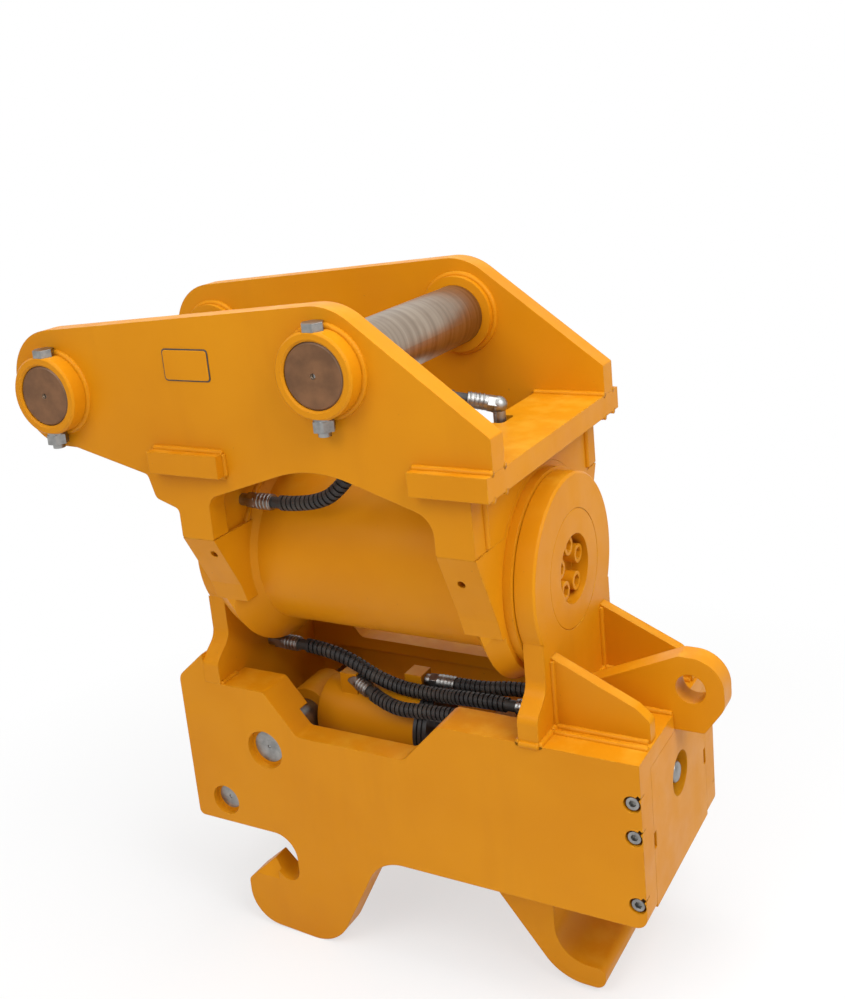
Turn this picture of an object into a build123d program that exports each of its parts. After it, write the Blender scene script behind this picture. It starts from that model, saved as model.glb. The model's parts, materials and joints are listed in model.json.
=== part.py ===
from build123d import *
import math
import os

os.makedirs("parts", exist_ok=True)

# Tilting quick coupler of an excavator, in millimetres.
# It is drawn about the tilt axis: X along that axis from the stick pin towards the lifting eye,
# Y along the pins, Z up.  write_parts() then moves it so that the origin is the stick pin's centre.

# Pins of the machine's stick and link
pin_diameter = 80.0
pin_recess = 2.0
stick_pin_height = 247.0
link_pin_x = 425.0
link_pin_height = 287.0
pin_fit = 0.05

# Ear plates and pin bosses
ear_inner = 151.0
ear_thickness = 30.0
ear_end_x = 627.5
ear_end_height = 219.0
ear_round_stick = 72.0
ear_round_link = 77.0
boss_diameter = 104.0
boss_stand_out = 26.0
cross_bolt_size = 16.0
cross_bolt_head_height = 10.0
cross_bolt_clearance = 0.5

# Horizontal base plates through the ears
base_plate_bottom = 151.0
base_plate_thickness = 28.5
base_plate_half_width = 197.0
front_base_start = 153.0
front_base_length = 109.0
rear_base_start = 528.0
hose_notch_depth = 22.0
hose_notch_width = 36.0
hose_notch_y = 23.0

# Actuator housing: a barrel with two feet, each under a saddle plate
housing_start = 178.0
housing_length = 419.0
housing_barrel_radius = 110.0
housing_bore_radius = 92.0
foot_end_radius = 131.0
foot_peak_radius = 143.0
foot_peak_from_end = 25.0
foot_length = 57.0
foot_half_width = 132.0
saddle_thickness = 44.0
front_leg_bottom = 62.0
rear_leg_bottom = 76.0
leg_outer_length = 50.0
foot_flank = ((132.0, -41.0), (141.0, -14.0))
plug_hole_x = (214.0, 567.0)
plug_hole_height = 38.0
plug_hole_radius = 5.0
end_ring_length = 11.5
end_ring_radius = 124.0
end_ring_spigot = 16.0
upright_gap = 1.0

# Helical actuator inside the housing
tilt_limit = 60.0
piston_stroke = 48.0
shaft_radius = 52.0
bush_wall = 6.0
ring_teeth = 12
ring_tooth_tip = 77.0
ring_tooth_root = 84.0
ring_start = 400.0
ring_length = 50.0
shaft_teeth = 10
shaft_tooth_tip = 61.0
shaft_tooth_root = 55.0
shaft_spline_start = 343.0
shaft_spline_length = 50.0
tooth_gap = 0.6
piston_start = 300.0
piston_head_length = 30.0
piston_sleeve_length = 200.0
bore_fit = 0.06

# Tilt shaft ends in the uprights
disc_radius = 75.0
disc_pocket_radius = 43.5
disc_pocket_depth = 22.0
disc_bolt_circle = 29.0
disc_bolt_count = 5
disc_bolt_size = 16.0
disc_web = 13.0

# Lower frame
upright_thickness = 26.0
upright_head_radius = 120.0
upright_neck_half_width = 107.0
front_upright_foot = -300.0
rear_upright_foot = -205.0
side_outer = 138.0
side_thickness = 36.0
frame_start = 94.0
frame_end = 757.5
frame_top = -168.0
frame_bottom = -382.0
window_start_x = 236.0
window_end_x = 500.0
window_front_slope = 0.82
window_rear_slope = 0.95
window_bottom = -225.0
far_window_bottom = -187.0
rail_width = 18.0
rail_bottom = -205.0
deck_thickness = 22.0
gusset_outer = 88.0
gusset_thickness = 16.0
eye_thickness = 30.0
eye_x = 780.0
eye_height = -131.0
eye_hole_radius = 18.5
eye_rim = 22.0
cover_thickness = 22.0
cover_gap = 0.5
cover_hole_radius = 28.0
cover_screw_size = 10.0
cover_screw_heights = (-219.0, -263.0, -352.0)
cover_bottom = -375.0
screw_pocket_radius = 10.5
screw_pocket_depth = 12.0

# Front hooks
hook_bottom = -537.5
throat_x = 239.0
throat_height = -434.0
throat_radius = 18.5
throat_lean = 45.0
hook_back_x = 392.0
hook_tip_height = -431.0
hook_front = 167.5
hook_bevel = 14.0

# Rear claw, its slide and its cylinder
claw_half_width = 88.0
claw_front = 505.0
claw_top = -218.0
claw_key_height = 30.0
claw_key_middle = -315.0
claw_pocket_x = 613.5
claw_pocket_bottom = -499.0
claw_tip_x = 679.0
claw_end_x = 700.0
claw_bottom = -528.0
slide_gap = 0.5
claw_travel = 85.0
cylinder_height = -255.0
anchor_x = 226.5
anchor_pin_radius = 22.5
anchor_recess_radius = 27.7
anchor_recess_depth = 10.0
cylinder_radius = 47.5
cylinder_bore = 35.0
cylinder_start = 252.0
cylinder_end = 405.0
gland_length = 20.0
cylinder_back_wall = 16.0
rod_piston_length = 25.0
rod_piston_end = 372.0
rod_radius = 22.5
rod_thread_radius = 15.0
rod_tail_radius = 10.5
rod_tail_end = 748.0

# Front safety latch
latch_x = 145.5
latch_height = -349.0
latch_pin_radius = 17.5
latch_recess_radius = 21.8
latch_half_width = 40.0

# Hydraulic lines
hose_radius = 7.5
hose_run_share = 0.45
ferrule_radius = 10.0
ferrule_length = 26.0
adapter_radius = 8.0
adapter_flats = 19.0
front_port_y = -108.0
front_port_z = 92.0
front_port_reach = 12.0
valve_from_end = 99.0
valve_length = 50.0
valve_y = (-4.0, 50.0)
valve_top = 142.0
valve_elbow_height = 198.0
valve_elbow_radius = 11.0
valve_hose_reach = 40.0
latch_line_y = -18.0
latch_line_z = -156.0
manifold_latch_y = -34.0
manifold_latch_z = -184.0
manifold_bore_y = -58.0
manifold_bore_z = -198.0
manifold_rod_y = 20.0
manifold_rod_z = -190.0
bore_port_x = 300.0
bore_port_y = -17.0
bore_port_z = -195.0
rod_port_x = 400.0
rod_port_y = 12.0
rod_port_z = -195.0

# Values worked out from those above
pin_radius = pin_diameter / 2
ear_outer = ear_inner + ear_thickness
boss_reach = ear_outer + boss_stand_out
pin_half_length = boss_reach - pin_recess
base_plate_top = base_plate_bottom + base_plate_thickness
side_inner = side_outer - side_thickness
housing_end = housing_start + housing_length
valve_start = housing_end - valve_from_end
left_upright_face = housing_start - end_ring_length - upright_gap
right_upright_face = housing_end + end_ring_length + upright_gap
cross_bolt_y = (ear_outer + boss_reach) / 2
front_saddle = (housing_start, housing_start + saddle_thickness)
rear_saddle = (housing_end - saddle_thickness, housing_end)


def block(x, y, z):
    """A box from three (low, high) pairs."""
    size = [high - low for low, high in (x, y, z)]
    middle = [(low + high) / 2 for low, high in (x, y, z)]
    return Pos(*middle) * Box(*size)


def rod_x(x, radius, y=0.0, z=0.0):
    """A round bar along X."""
    plane = Plane(origin=(x[0], y, z), x_dir=(0, 1, 0), z_dir=(1, 0, 0))
    return extrude(plane * Circle(radius), amount=x[1] - x[0])


def rod_y(y, radius, x=0.0, z=0.0):
    """A round bar along Y."""
    plane = Plane(origin=(x, y[1], z), x_dir=(1, 0, 0), z_dir=(0, -1, 0))
    return extrude(plane * Circle(radius), amount=y[1] - y[0])


def rod_z(z, radius, x=0.0, y=0.0):
    """A round bar along Z."""
    return extrude(Pos(x, y, z[0]) * Circle(radius), amount=z[1] - z[0])


def rounded_face(corners):
    """A face from (across, up, corner radius) triples."""
    line = FilletPolyline(
        *[(a, b) for a, b, _ in corners], radius=[r for _, _, r in corners], close=True
    )
    return make_face(line)


def plate_y(corners, y):
    """A plate in the XZ plane, between two Y values."""
    plane = Plane(origin=(0, y[1], 0), x_dir=(1, 0, 0), z_dir=(0, -1, 0))
    return extrude(plane * rounded_face(corners), amount=y[1] - y[0])


def plate_x(corners, x):
    """A plate in the YZ plane, between two X values."""
    plane = Plane(origin=(x[0], 0, 0), x_dir=(0, 1, 0), z_dir=(1, 0, 0))
    return extrude(plane * rounded_face(corners), amount=x[1] - x[0])


def plate_z(corners, z):
    """A plate in the XY plane, between two Z values."""
    return extrude(Pos(0, 0, z[0]) * rounded_face(corners), amount=z[1] - z[0])


def mirror_y(shape):
    return mirror(shape, about=Plane.XZ)


def both_sides(shape):
    """The shape and its mirror image, as separate solids."""
    return Compound(children=[*shape.solids(), *mirror_y(shape).solids()])


def hex_x(x, across_flats, y=0.0, z=0.0, turn=0.0):
    """A hexagonal prism along X."""
    plane = Plane(origin=(x[0], y, z), x_dir=(0, 1, 0), z_dir=(1, 0, 0))
    face = plane * Rot(0, 0, turn) * RegularPolygon(across_flats / 2, 6, major_radius=False)
    return extrude(face, amount=x[1] - x[0])


def hex_z(z, across_flats, x=0.0, y=0.0):
    """A hexagonal prism along Z."""
    face = Pos(x, y, z[0]) * RegularPolygon(across_flats / 2, 6, major_radius=False)
    return extrude(face, amount=z[1] - z[0])


def revolve_x(corners):
    """A turned body about the X axis from (x, radius) pairs."""
    face = make_face(Polyline(*corners, close=True))
    return revolve(Plane.XZ * face, axis=Axis.X)


# Upper frame

def ear_corners():
    """The ear plate's outline, clockwise from the left."""
    slope = math.radians(40.2)
    top_x = link_pin_x + ear_round_link * math.sin(slope)
    top_z = link_pin_height + ear_round_link * math.cos(slope)
    leg = leg_outer_length
    return [
        (-ear_round_stick, stick_pin_height - ear_round_stick, ear_round_stick * 0.98),
        (-ear_round_stick, stick_pin_height + ear_round_stick + 4, ear_round_stick * 0.98),
        (link_pin_x + 14, link_pin_height + ear_round_link, ear_round_link),
        (ear_end_x, ear_end_height, 3),
        (ear_end_x, base_plate_bottom - 0.01, 0),
        (housing_end, base_plate_bottom - 0.01, 0),
        (housing_end, rear_leg_bottom, 3),
        (housing_end - leg, rear_leg_bottom, 3),
        (housing_end - leg, 121, 30),
        (390, 172, 160),
        (housing_start + leg, 118, 20),
        (housing_start + leg, front_leg_bottom, 3),
        (housing_start, front_leg_bottom, 3),
        (housing_start, 100, 8),
        (143, 112, 10),
        (134, 143, 8),
        (18, 172, 12),
    ]


def make_ear_plate():
    """The far ear plate, on the +Y side."""
    ear = plate_y(ear_corners(), (ear_inner, ear_outer))
    for boss_x, boss_z in ((0, stick_pin_height), (link_pin_x, link_pin_height)):
        ear -= rod_y((ear_inner - 1, ear_outer + 1), boss_diameter / 2, boss_x, boss_z)
    return ear - front_base_space() - rear_base_space()


def front_base_space():
    x = (front_base_start, front_base_start + front_base_length)
    y = (-base_plate_half_width, base_plate_half_width)
    return block(x, y, (base_plate_bottom, base_plate_top))


def rear_base_space():
    x = (rear_base_start, ear_end_x)
    y = (-base_plate_half_width, base_plate_half_width)
    return block(x, y, (base_plate_bottom, base_plate_top))


def make_rear_base_plate():
    """The rear plate, with a notch that lets a hose up between the ears."""
    low = hose_notch_y - hose_notch_width / 2
    corners = [
        (rear_base_start - 5, low, 0),
        (rear_base_start + hose_notch_depth, low, 6),
        (rear_base_start + hose_notch_depth, low + hose_notch_width, 6),
        (rear_base_start - 5, low + hose_notch_width, 0),
    ]
    return rear_base_space() - plate_z(corners, (base_plate_bottom - 1, base_plate_top + 1))


def make_bosses(x, z):
    """Two pin bosses, pressed through the ears, each drilled across for its bolt."""
    boss = rod_y((ear_inner - 12, boss_reach), boss_diameter / 2, x, z)
    boss -= rod_y((ear_inner - 20, boss_reach + 1), pin_radius + pin_fit, x, z)
    boss = chamfer(boss.edges().filter_by(GeomType.CIRCLE).group_by(Axis.Y)[-1], 2.5)
    boss -= cross_bolt_hole(x, z)
    boss -= block(
        (x - 14, x + 14),
        (cross_bolt_y - 12.5, cross_bolt_y + 12.5),
        (z + boss_diameter / 2 - 2, z + boss_diameter / 2 + 5),
    )
    boss -= block(
        (x - 14, x + 14),
        (cross_bolt_y - 12.5, cross_bolt_y + 12.5),
        (z - boss_diameter / 2 - 5, z - boss_diameter / 2 + 2),
    )
    return both_sides(boss)


def cross_bolt_hole(x, z):
    radius = cross_bolt_size / 2 + cross_bolt_clearance
    return rod_z((z - boss_diameter, z + boss_diameter), radius, x, cross_bolt_y)


def make_pin(x, z):
    """A pin with a chamfered nose, a centre mark and its two cross bolt holes."""
    pin = rod_y((-pin_half_length, pin_half_length), pin_radius, x, z)
    pin = chamfer(pin.edges().filter_by(GeomType.CIRCLE), 2.5)
    for side in (-1, 1):
        pin -= Pos(x, side * pin_half_length, z) * Sphere(3.5)
    hole = cross_bolt_hole(x, z)
    return pin - hole - mirror_y(hole)


def make_cross_bolt(x, z):
    seat = boss_diameter / 2 - 2
    bolt = hex_z((z + seat, z + seat + cross_bolt_head_height), 24, x, cross_bolt_y)
    bolt += rod_z((z - seat - 22, z + seat), cross_bolt_size / 2, x, cross_bolt_y)
    return bolt


def make_cross_nut(x, z):
    seat = boss_diameter / 2 - 2
    washer = rod_z((z - seat - 3, z - seat), 12, x, cross_bolt_y)
    nut = washer + hex_z((z - seat - 16, z - seat - 3), 24, x, cross_bolt_y)
    hole = rod_z((z - seat - 30, z), cross_bolt_size / 2, x, cross_bolt_y)
    return nut - hole


def pin_places():
    return ((0, stick_pin_height), (link_pin_x, link_pin_height))


def make_saddle(x, leg_bottom):
    """A cross plate that sits astride one foot of the housing, between the ears."""
    corners = [
        (-ear_inner, leg_bottom, 0),
        (-ear_inner, base_plate_bottom, 0),
        (ear_inner, base_plate_bottom, 0),
        (ear_inner, leg_bottom, 0),
    ]
    return plate_x(corners, x) - housing_envelope()


# Tilt actuator

def housing_envelope():
    """The housing's outside: a turned body with flats on the two sides of its feet."""
    start, end = housing_start, housing_end
    peak, foot = foot_peak_from_end, foot_length
    barrel = housing_barrel_radius
    corners = [
        (start, 0),
        (start, foot_end_radius),
        (start + peak, foot_peak_radius),
        (start + foot, barrel),
        (end - foot, barrel),
        (end - peak, foot_peak_radius),
        (end, foot_end_radius),
        (end, 0),
    ]
    side = foot_half_width
    flats = block((start - 1, end + 1), (-side, side), (-200, 200))
    housing = revolve_x(corners) & flats
    feet = (
        ((start, start + leg_outer_length), front_leg_bottom),
        ((end - leg_outer_length, end), rear_leg_bottom),
    )
    for x, top in feet:
        housing += both_sides(plate_x(flank_corners(top), x))
    return housing


def flank_corners(top):
    """The slanted side of a foot, from the ear plate's end down to the turned body."""
    low, knee = foot_flank
    inner = housing_bore_radius + 8
    return [(inner, low[1], 0), (*low, 0), (*knee, 12), (ear_outer, top, 0), (inner, top, 0)]


def make_housing():
    housing = housing_envelope()
    housing -= rod_x((housing_start - 1, housing_end + 1), housing_bore_radius)
    for x in plug_hole_x:
        for side in (-1, 1):
            y = sorted((side * (ear_inner - 4), side * (ear_outer + 1)))
            housing -= rod_y(y, plug_hole_radius, x, plug_hole_height)
    return housing


def helix_gear(radii, count, x, twist, half_tooth_tip, half_tooth_root):
    """A bar along X whose outside is a ring of helical teeth; twist is in degrees per mm."""
    root, tip = radii
    corners = []
    for tooth in range(count):
        middle = twist * x[0] + 360 * tooth / count
        for radius, offset in (
            (root, -half_tooth_root),
            (tip, -half_tooth_tip),
            (tip, half_tooth_tip),
            (root, half_tooth_root),
        ):
            angle = math.radians(middle + offset)
            corners.append((radius * math.cos(angle), radius * math.sin(angle)))
    plane = Plane(origin=(x[0], 0, 0), x_dir=(0, 1, 0), z_dir=(1, 0, 0))
    face = (plane * make_face(Polyline(*corners, close=True))).faces()[0]
    length = x[1] - x[0]
    return Solid.extrude_linear_with_rotation(
        face, center=(x[0], 0, 0), normal=(length, 0, 0), angle=twist * length
    )


def helix_rate():
    """Turn of the piston against the housing, in degrees per millimetre of its travel."""
    return tilt_limit / 2 / piston_stroke


def spline_halves(count, tip, gap):
    """Half widths of a tooth at its tip and its root, in degrees, thinned by the gap."""
    pitch = 360 / count
    thin = math.degrees(gap / 2 / tip)
    return pitch * 0.17 - thin, pitch * 0.27 - thin


def make_ring_gear():
    """The fixed ring in the housing, with helical teeth inside."""
    tip, root = spline_halves(ring_teeth, ring_tooth_tip, -tooth_gap)
    x = (ring_start, ring_start + ring_length)
    long = (x[0] - 2, x[1] + 2)
    hole = helix_gear(
        (ring_tooth_tip, ring_tooth_root), ring_teeth, long, helix_rate(), tip, root
    )
    return rod_x(x, housing_bore_radius) - hole


def make_piston():
    """The sleeve: helical teeth outside for the ring gear and inside for the shaft."""
    tip, root = spline_halves(ring_teeth, ring_tooth_tip, tooth_gap)
    end = piston_start + piston_sleeve_length
    body = helix_gear(
        (ring_tooth_tip - tooth_gap, ring_tooth_root - tooth_gap),
        ring_teeth,
        (piston_start + piston_head_length - 1, end),
        helix_rate(),
        tip,
        root,
    )
    head = rod_x(
        (piston_start, piston_start + piston_head_length), housing_bore_radius - bore_fit
    )
    for place in (0.28, 0.72):
        middle = piston_start + piston_head_length * place
        groove = rod_x((middle - 3, middle + 3), housing_bore_radius + 1)
        head -= groove - rod_x((middle - 3, middle + 3), housing_bore_radius - 6)
    tip, root = spline_halves(shaft_teeth, shaft_tooth_tip, -tooth_gap)
    hole = helix_gear(
        (shaft_tooth_root + tooth_gap, shaft_tooth_tip + tooth_gap),
        shaft_teeth,
        (piston_start - 2, end + 2),
        -helix_rate(),
        tip,
        root,
    )
    return head + body - hole


def make_piston_seals():
    rings = []
    for place in (0.28, 0.72):
        middle = piston_start + piston_head_length * place
        ring = rod_x((middle - 2.9, middle + 2.9), housing_bore_radius - bore_fit)
        ring -= rod_x((middle - 4, middle + 4), housing_bore_radius - 5.9)
        rings.append(ring)
    return Compound(children=rings)


def make_shaft():
    """The tilt shaft, with a band of helical teeth and threaded ends."""
    x = (shaft_spline_start, shaft_spline_start + shaft_spline_length)
    tip, root = spline_halves(shaft_teeth, shaft_tooth_tip, tooth_gap)
    teeth = helix_gear(
        (shaft_tooth_root, shaft_tooth_tip), shaft_teeth, x, -helix_rate(), tip, root
    )
    ends = (left_upright_face + spigot_length(), right_upright_face - spigot_length())
    shaft = rod_x(ends, shaft_radius) + teeth
    for side_x, inward in ((ends[0], 1), (ends[1], -1)):
        for y, z in disc_bolt_places():
            span = sorted((side_x - inward, side_x + inward * 34))
            shaft -= rod_x(span, disc_bolt_size / 2, y, z)
    return shaft


def spigot_length():
    """How far each flange disc reaches inwards past its upright."""
    return disc_web - (upright_thickness - disc_pocket_depth)


def disc_bolt_places():
    places = []
    for index in range(disc_bolt_count):
        angle = math.radians(90 + 360 / disc_bolt_count * index)
        places.append((disc_bolt_circle * math.cos(angle), disc_bolt_circle * math.sin(angle)))
    return places


def make_flange_disc(face, outward):
    """A disc that fits the upright's bore and is bolted to the end of the shaft."""
    outer = face + outward * upright_thickness
    disc = rod_x(sorted((face, outer)), disc_radius)
    disc += rod_x(sorted((face - outward * spigot_length(), face)), shaft_radius)
    pocket = rod_x(sorted((outer - outward * disc_pocket_depth, outer + outward)), disc_pocket_radius)
    disc -= pocket
    for y, z in disc_bolt_places():
        disc -= rod_x(
            sorted((face - outward * 30, outer)), disc_bolt_size / 2 + 0.5, y, z
        )
    rim = disc.edges().filter_by(GeomType.CIRCLE).group_by(Axis.X)
    rim = rim[-1] if outward > 0 else rim[0]
    return chamfer(rim.sort_by(SortBy.RADIUS)[-1], 1.2)


def make_disc_bolts(face, outward):
    """Socket head screws that clamp the disc to the shaft."""
    seat = face + outward * (upright_thickness - disc_pocket_depth)
    bolts = []
    for y, z in disc_bolt_places():
        top = seat + outward * disc_bolt_size
        bolt = rod_x(sorted((seat, top)), 12, y, z)
        bolt += rod_x(sorted((seat - outward * 44, seat)), disc_bolt_size / 2 - 0.05, y, z)
        bolt -= hex_x(sorted((top - outward * 9, top + outward)), 14, y, z)
        bolts.append(bolt)
    return Compound(children=bolts)


def make_end_ring(face, outward):
    """The bearing ring that closes one end of the housing."""
    ring = rod_x(sorted((face, face + outward * end_ring_length)), end_ring_radius)
    spigot = rod_x(sorted((face - outward * end_ring_spigot, face)), housing_bore_radius)
    ring += spigot
    span = sorted((face - outward * 30, face + outward * 30))
    return ring - rod_x(span, shaft_radius + bush_wall)


def make_bush(face, outward):
    x = sorted((face - outward * end_ring_spigot, face + outward * end_ring_length))
    return rod_x(x, shaft_radius + bush_wall) - rod_x(
        (x[0] - 1, x[1] + 1), shaft_radius + pin_fit
    )


# Lower frame

def side_plate_corners(window):
    """The side plate's outline with its front hook, clockwise from the lower left."""
    lean = math.radians(throat_lean)
    left, right = throat_x - throat_radius * math.tan(lean / 2), throat_x + throat_radius
    floor = throat_height - throat_radius
    tip_x = left - (hook_tip_height - floor) / math.tan(lean)
    round_floor = throat_radius * 0.999
    back = left_upright_face - upright_thickness
    return [
        (frame_start, frame_bottom, 8),
        (frame_start, frame_top + 2, 18),
        (back, -127, 0),
        (back, frame_top, 0),
        (window_start_x, frame_top, 6),
        (window_start_x + (frame_top - window) * window_front_slope, window, 10),
        (window_end_x - (frame_top - window) * window_rear_slope, window, 12),
        (window_end_x, frame_top, 14),
        (frame_end, frame_top, 0),
        (frame_end, frame_bottom, 16),
        (hook_back_x, frame_bottom, 60),
        (hook_back_x - 84, hook_bottom, 62),
        (hook_front, hook_bottom + 8, 46),
        (hook_front, hook_tip_height - 37, 12),
        (tip_x, hook_tip_height, 2),
        (left, floor, round_floor),
        (right, floor, round_floor),
        (right, frame_bottom, 34),
    ]


def make_side_plate(window):
    """A side plate drawn on the +Y side, with its window cut down to the given height."""
    corners = side_plate_corners(window)
    plate = plate_y(corners, (side_inner, side_outer))
    rail_y = (side_inner - rail_width, side_inner)
    rail_x = (left_upright_face, right_upright_face)
    plate += plate_y(corners, rail_y) & block(rail_x, rail_y, (rail_bottom, frame_top))
    bevel = plate_x(
        [
            (side_outer + 1, hook_tip_height - 27, 0),
            (side_outer + 1, hook_tip_height + 5, 0),
            (side_outer - hook_bevel, hook_tip_height + 5, 0),
        ],
        (hook_front - 5, throat_x - throat_radius + 1),
    )
    plate -= bevel
    recesses = (
        (anchor_x, cylinder_height, anchor_pin_radius, anchor_recess_radius),
        (latch_x, latch_height, latch_pin_radius, latch_recess_radius),
    )
    for x, z, pin, recess in recesses:
        plate -= rod_y((side_inner - 1, side_outer + 1), pin + pin_fit, x, z)
        plate -= rod_y((side_outer - anchor_recess_depth, side_outer + 1), recess, x, z)
    for z in cover_screw_heights:
        plate -= screw_pocket(z)
    return plate


def cover_screw_x():
    return frame_end - cover_thickness / 2


def screw_pocket(z):
    """A counterbore with a keyhole notch, and the screw's clearance hole."""
    x = cover_screw_x()
    pocket = rod_y((side_outer - screw_pocket_depth, side_outer + 1), screw_pocket_radius, x, z)
    notch = Pos(x, 0, z) * Rot(0, -50, 0) * block(
        (0, screw_pocket_radius + 4),
        (side_outer - screw_pocket_depth, side_outer + 1),
        (-2.5, 2.5),
    )
    hole = rod_y((side_inner - 1, side_outer), cover_screw_size / 2 + 0.5, x, z)
    return pocket + notch + hole


def make_cover_screws():
    screws = []
    x = cover_screw_x()
    seat = side_outer - screw_pocket_depth
    for z in cover_screw_heights:
        screw = rod_y((seat, seat + cover_screw_size), 8, x, z)
        screw += rod_y((seat - 44, seat), cover_screw_size / 2 - 0.05, x, z)
        plane = Plane(origin=(x, seat + cover_screw_size + 1, z), x_dir=(1, 0, 0), z_dir=(0, -1, 0))
        socket = extrude(plane * RegularPolygon(4, 6, major_radius=False), amount=7)
        screws.append(screw - socket)
    screws = Compound(children=screws)
    return both_sides(screws)


def upright_corners(foot_width, foot_bottom):
    """Neck, flare and tongue of an upright; the round head is added as a disc."""
    neck = upright_neck_half_width
    half = [
        (62, -95, 0),
        (neck, -math.sqrt(upright_head_radius**2 - neck**2), 0),
        (neck, -112, 24),
        (side_outer, -136, 14),
        (side_outer, frame_top, 0),
        (foot_width, frame_top, 0),
        (foot_width, foot_bottom, 4),
    ]
    other = [(-y, z, r) for y, z, r in reversed(half)]
    return half + other


def make_upright(face, outward, foot_bottom, slot_top):
    """A side of the cradle: a round head round the shaft, on a flared foot."""
    x = sorted((face, face + outward * upright_thickness))
    upright = rod_x(x, upright_head_radius)
    rims = upright.edges().filter_by(GeomType.CIRCLE).group_by(Axis.X)
    upright = chamfer(rims[-1] if outward > 0 else rims[0], 2.5)
    upright += plate_x(upright_corners(side_inner, foot_bottom), x)
    upright -= rod_x((x[0] - 1, x[1] + 1), disc_radius)
    if slot_top:
        half = rod_radius + 6
        upright -= block((x[0] - 1, x[1] + 1), (-half, half), (foot_bottom - 1, slot_top))
    return upright


def make_deck():
    x = (right_upright_face + upright_thickness, frame_end)
    z = (frame_top - deck_thickness, frame_top)
    return block(x, (-side_inner, side_inner), z)


def make_gusset():
    """The far gusset between upright and deck."""
    start = right_upright_face + upright_thickness
    corners = [
        (start, frame_top, 0),
        (start, -78, 0),
        (738, -126, 10),
        (frame_end - 3, -141, 10),
        (frame_end - 3, frame_top, 0),
    ]
    return plate_y(corners, (gusset_outer - gusset_thickness, gusset_outer))


def make_lifting_eye():
    start = right_upright_face + upright_thickness
    rim = eye_hole_radius + eye_rim
    half = eye_thickness / 2
    corners = [
        (start, frame_top, 0),
        (start, -150, 0),
        (eye_x - 14, eye_height + rim, 14),
        (eye_x + rim, eye_height + rim, rim * 0.98),
        (eye_x + rim, eye_height - 20, 25),
        (795, frame_top - deck_thickness + 3, 6),
        (frame_end, frame_top - deck_thickness + 3, 0),
        (frame_end, frame_top, 0),
    ]
    eye = plate_y(corners, (-half, half))
    return eye - rod_y((-half - 1, half + 1), eye_hole_radius, eye_x, eye_height)


def make_end_cover():
    """The screwed cover behind which the claw's rod runs."""
    y = side_inner - cover_gap
    x = (frame_end - cover_thickness, frame_end)
    top = frame_top - deck_thickness - cover_gap
    cover = block(x, (-y, y), (cover_bottom, top))
    cover -= rod_x((x[0] - 1, x[1] + 1), cover_hole_radius, 0, cylinder_height)
    for side in (-1, 1):
        cover -= block((x[1] - 8, x[1] + 1), sorted((side * (y - 8), side * (y + 1))), (-298, -276))
        for z in cover_screw_heights:
            cover -= rod_y(
                sorted((side * (y - 26), side * (y + 1))), cover_screw_size / 2, cover_screw_x(), z
            )
    return cover


def make_front_cross_plate():
    return plate_x(
        [
            (-side_inner, front_upright_foot, 6),
            (-side_inner, -182, 0),
            (side_inner, -182, 0),
            (side_inner, front_upright_foot, 6),
        ],
        (frame_start + 4, frame_start + 24),
    )


def make_guides():
    """Four bars that guide the claw's keys, two on each side plate."""
    middle, half = claw_key_middle, claw_key_height / 2 + slide_gap
    y = (claw_half_width + slide_gap, side_inner)
    x = (470, frame_end - cover_thickness)
    lower = block(x, y, (middle - half - 28, middle - half))
    upper = block(x, y, (middle + half, middle + half + 28))
    return both_sides(Compound(children=[lower, upper]))


# Rear claw and its cylinder

def make_claw():
    """The sliding claw: a guided block above, a hook with a lip below."""
    corners = [
        (claw_front, claw_top, 6),
        (claw_end_x, claw_top, 6),
        (claw_end_x, -352, 10),
        (claw_pocket_x, -352, 14),
        (claw_pocket_x, claw_pocket_bottom, 44),
        (claw_tip_x, claw_pocket_bottom, 9),
        (claw_tip_x, claw_bottom, 15),
        (618, claw_bottom, 66),
        (508, -384, 6),
        (claw_front, -352, 4),
    ]
    claw = plate_y(corners, (-claw_half_width, claw_half_width))
    middle, half = claw_key_middle, claw_key_height / 2
    outer = side_inner - slide_gap
    claw += block((claw_front, claw_end_x), (-outer, outer), (middle - half, middle + half))
    pocket = block(
        (claw_front + 40, claw_end_x + 1), (-60, 60), (cylinder_height - 34, claw_top + 1)
    )
    claw -= pocket
    return claw - rod_x(
        (claw_front - 1, claw_front + 41), rod_thread_radius + 0.1, 0, cylinder_height
    )


def make_rod():
    """The piston rod, its threaded end through the claw and its tail in the cover's hole."""
    z = cylinder_height
    rod = rod_x((rod_piston_end, claw_front), rod_radius, 0, z)
    rod += rod_x((claw_front, claw_front + 75), rod_thread_radius, 0, z)
    rod += rod_x((claw_front + 75, rod_tail_end), rod_tail_radius, 0, z)
    piston = (rod_piston_end - rod_piston_length, rod_piston_end)
    rod += rod_x(piston, cylinder_bore - bore_fit, 0, z)
    tip = rod.edges().filter_by(GeomType.CIRCLE).group_by(Axis.X)[-1]
    return chamfer(tip, 3)


def make_rod_nut():
    x = (claw_front + 40, claw_front + 66)
    nut = hex_x(x, 46, 0, cylinder_height)
    return nut - rod_x((x[0] - 1, x[1] + 1), rod_thread_radius + 0.05, 0, cylinder_height)


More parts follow.
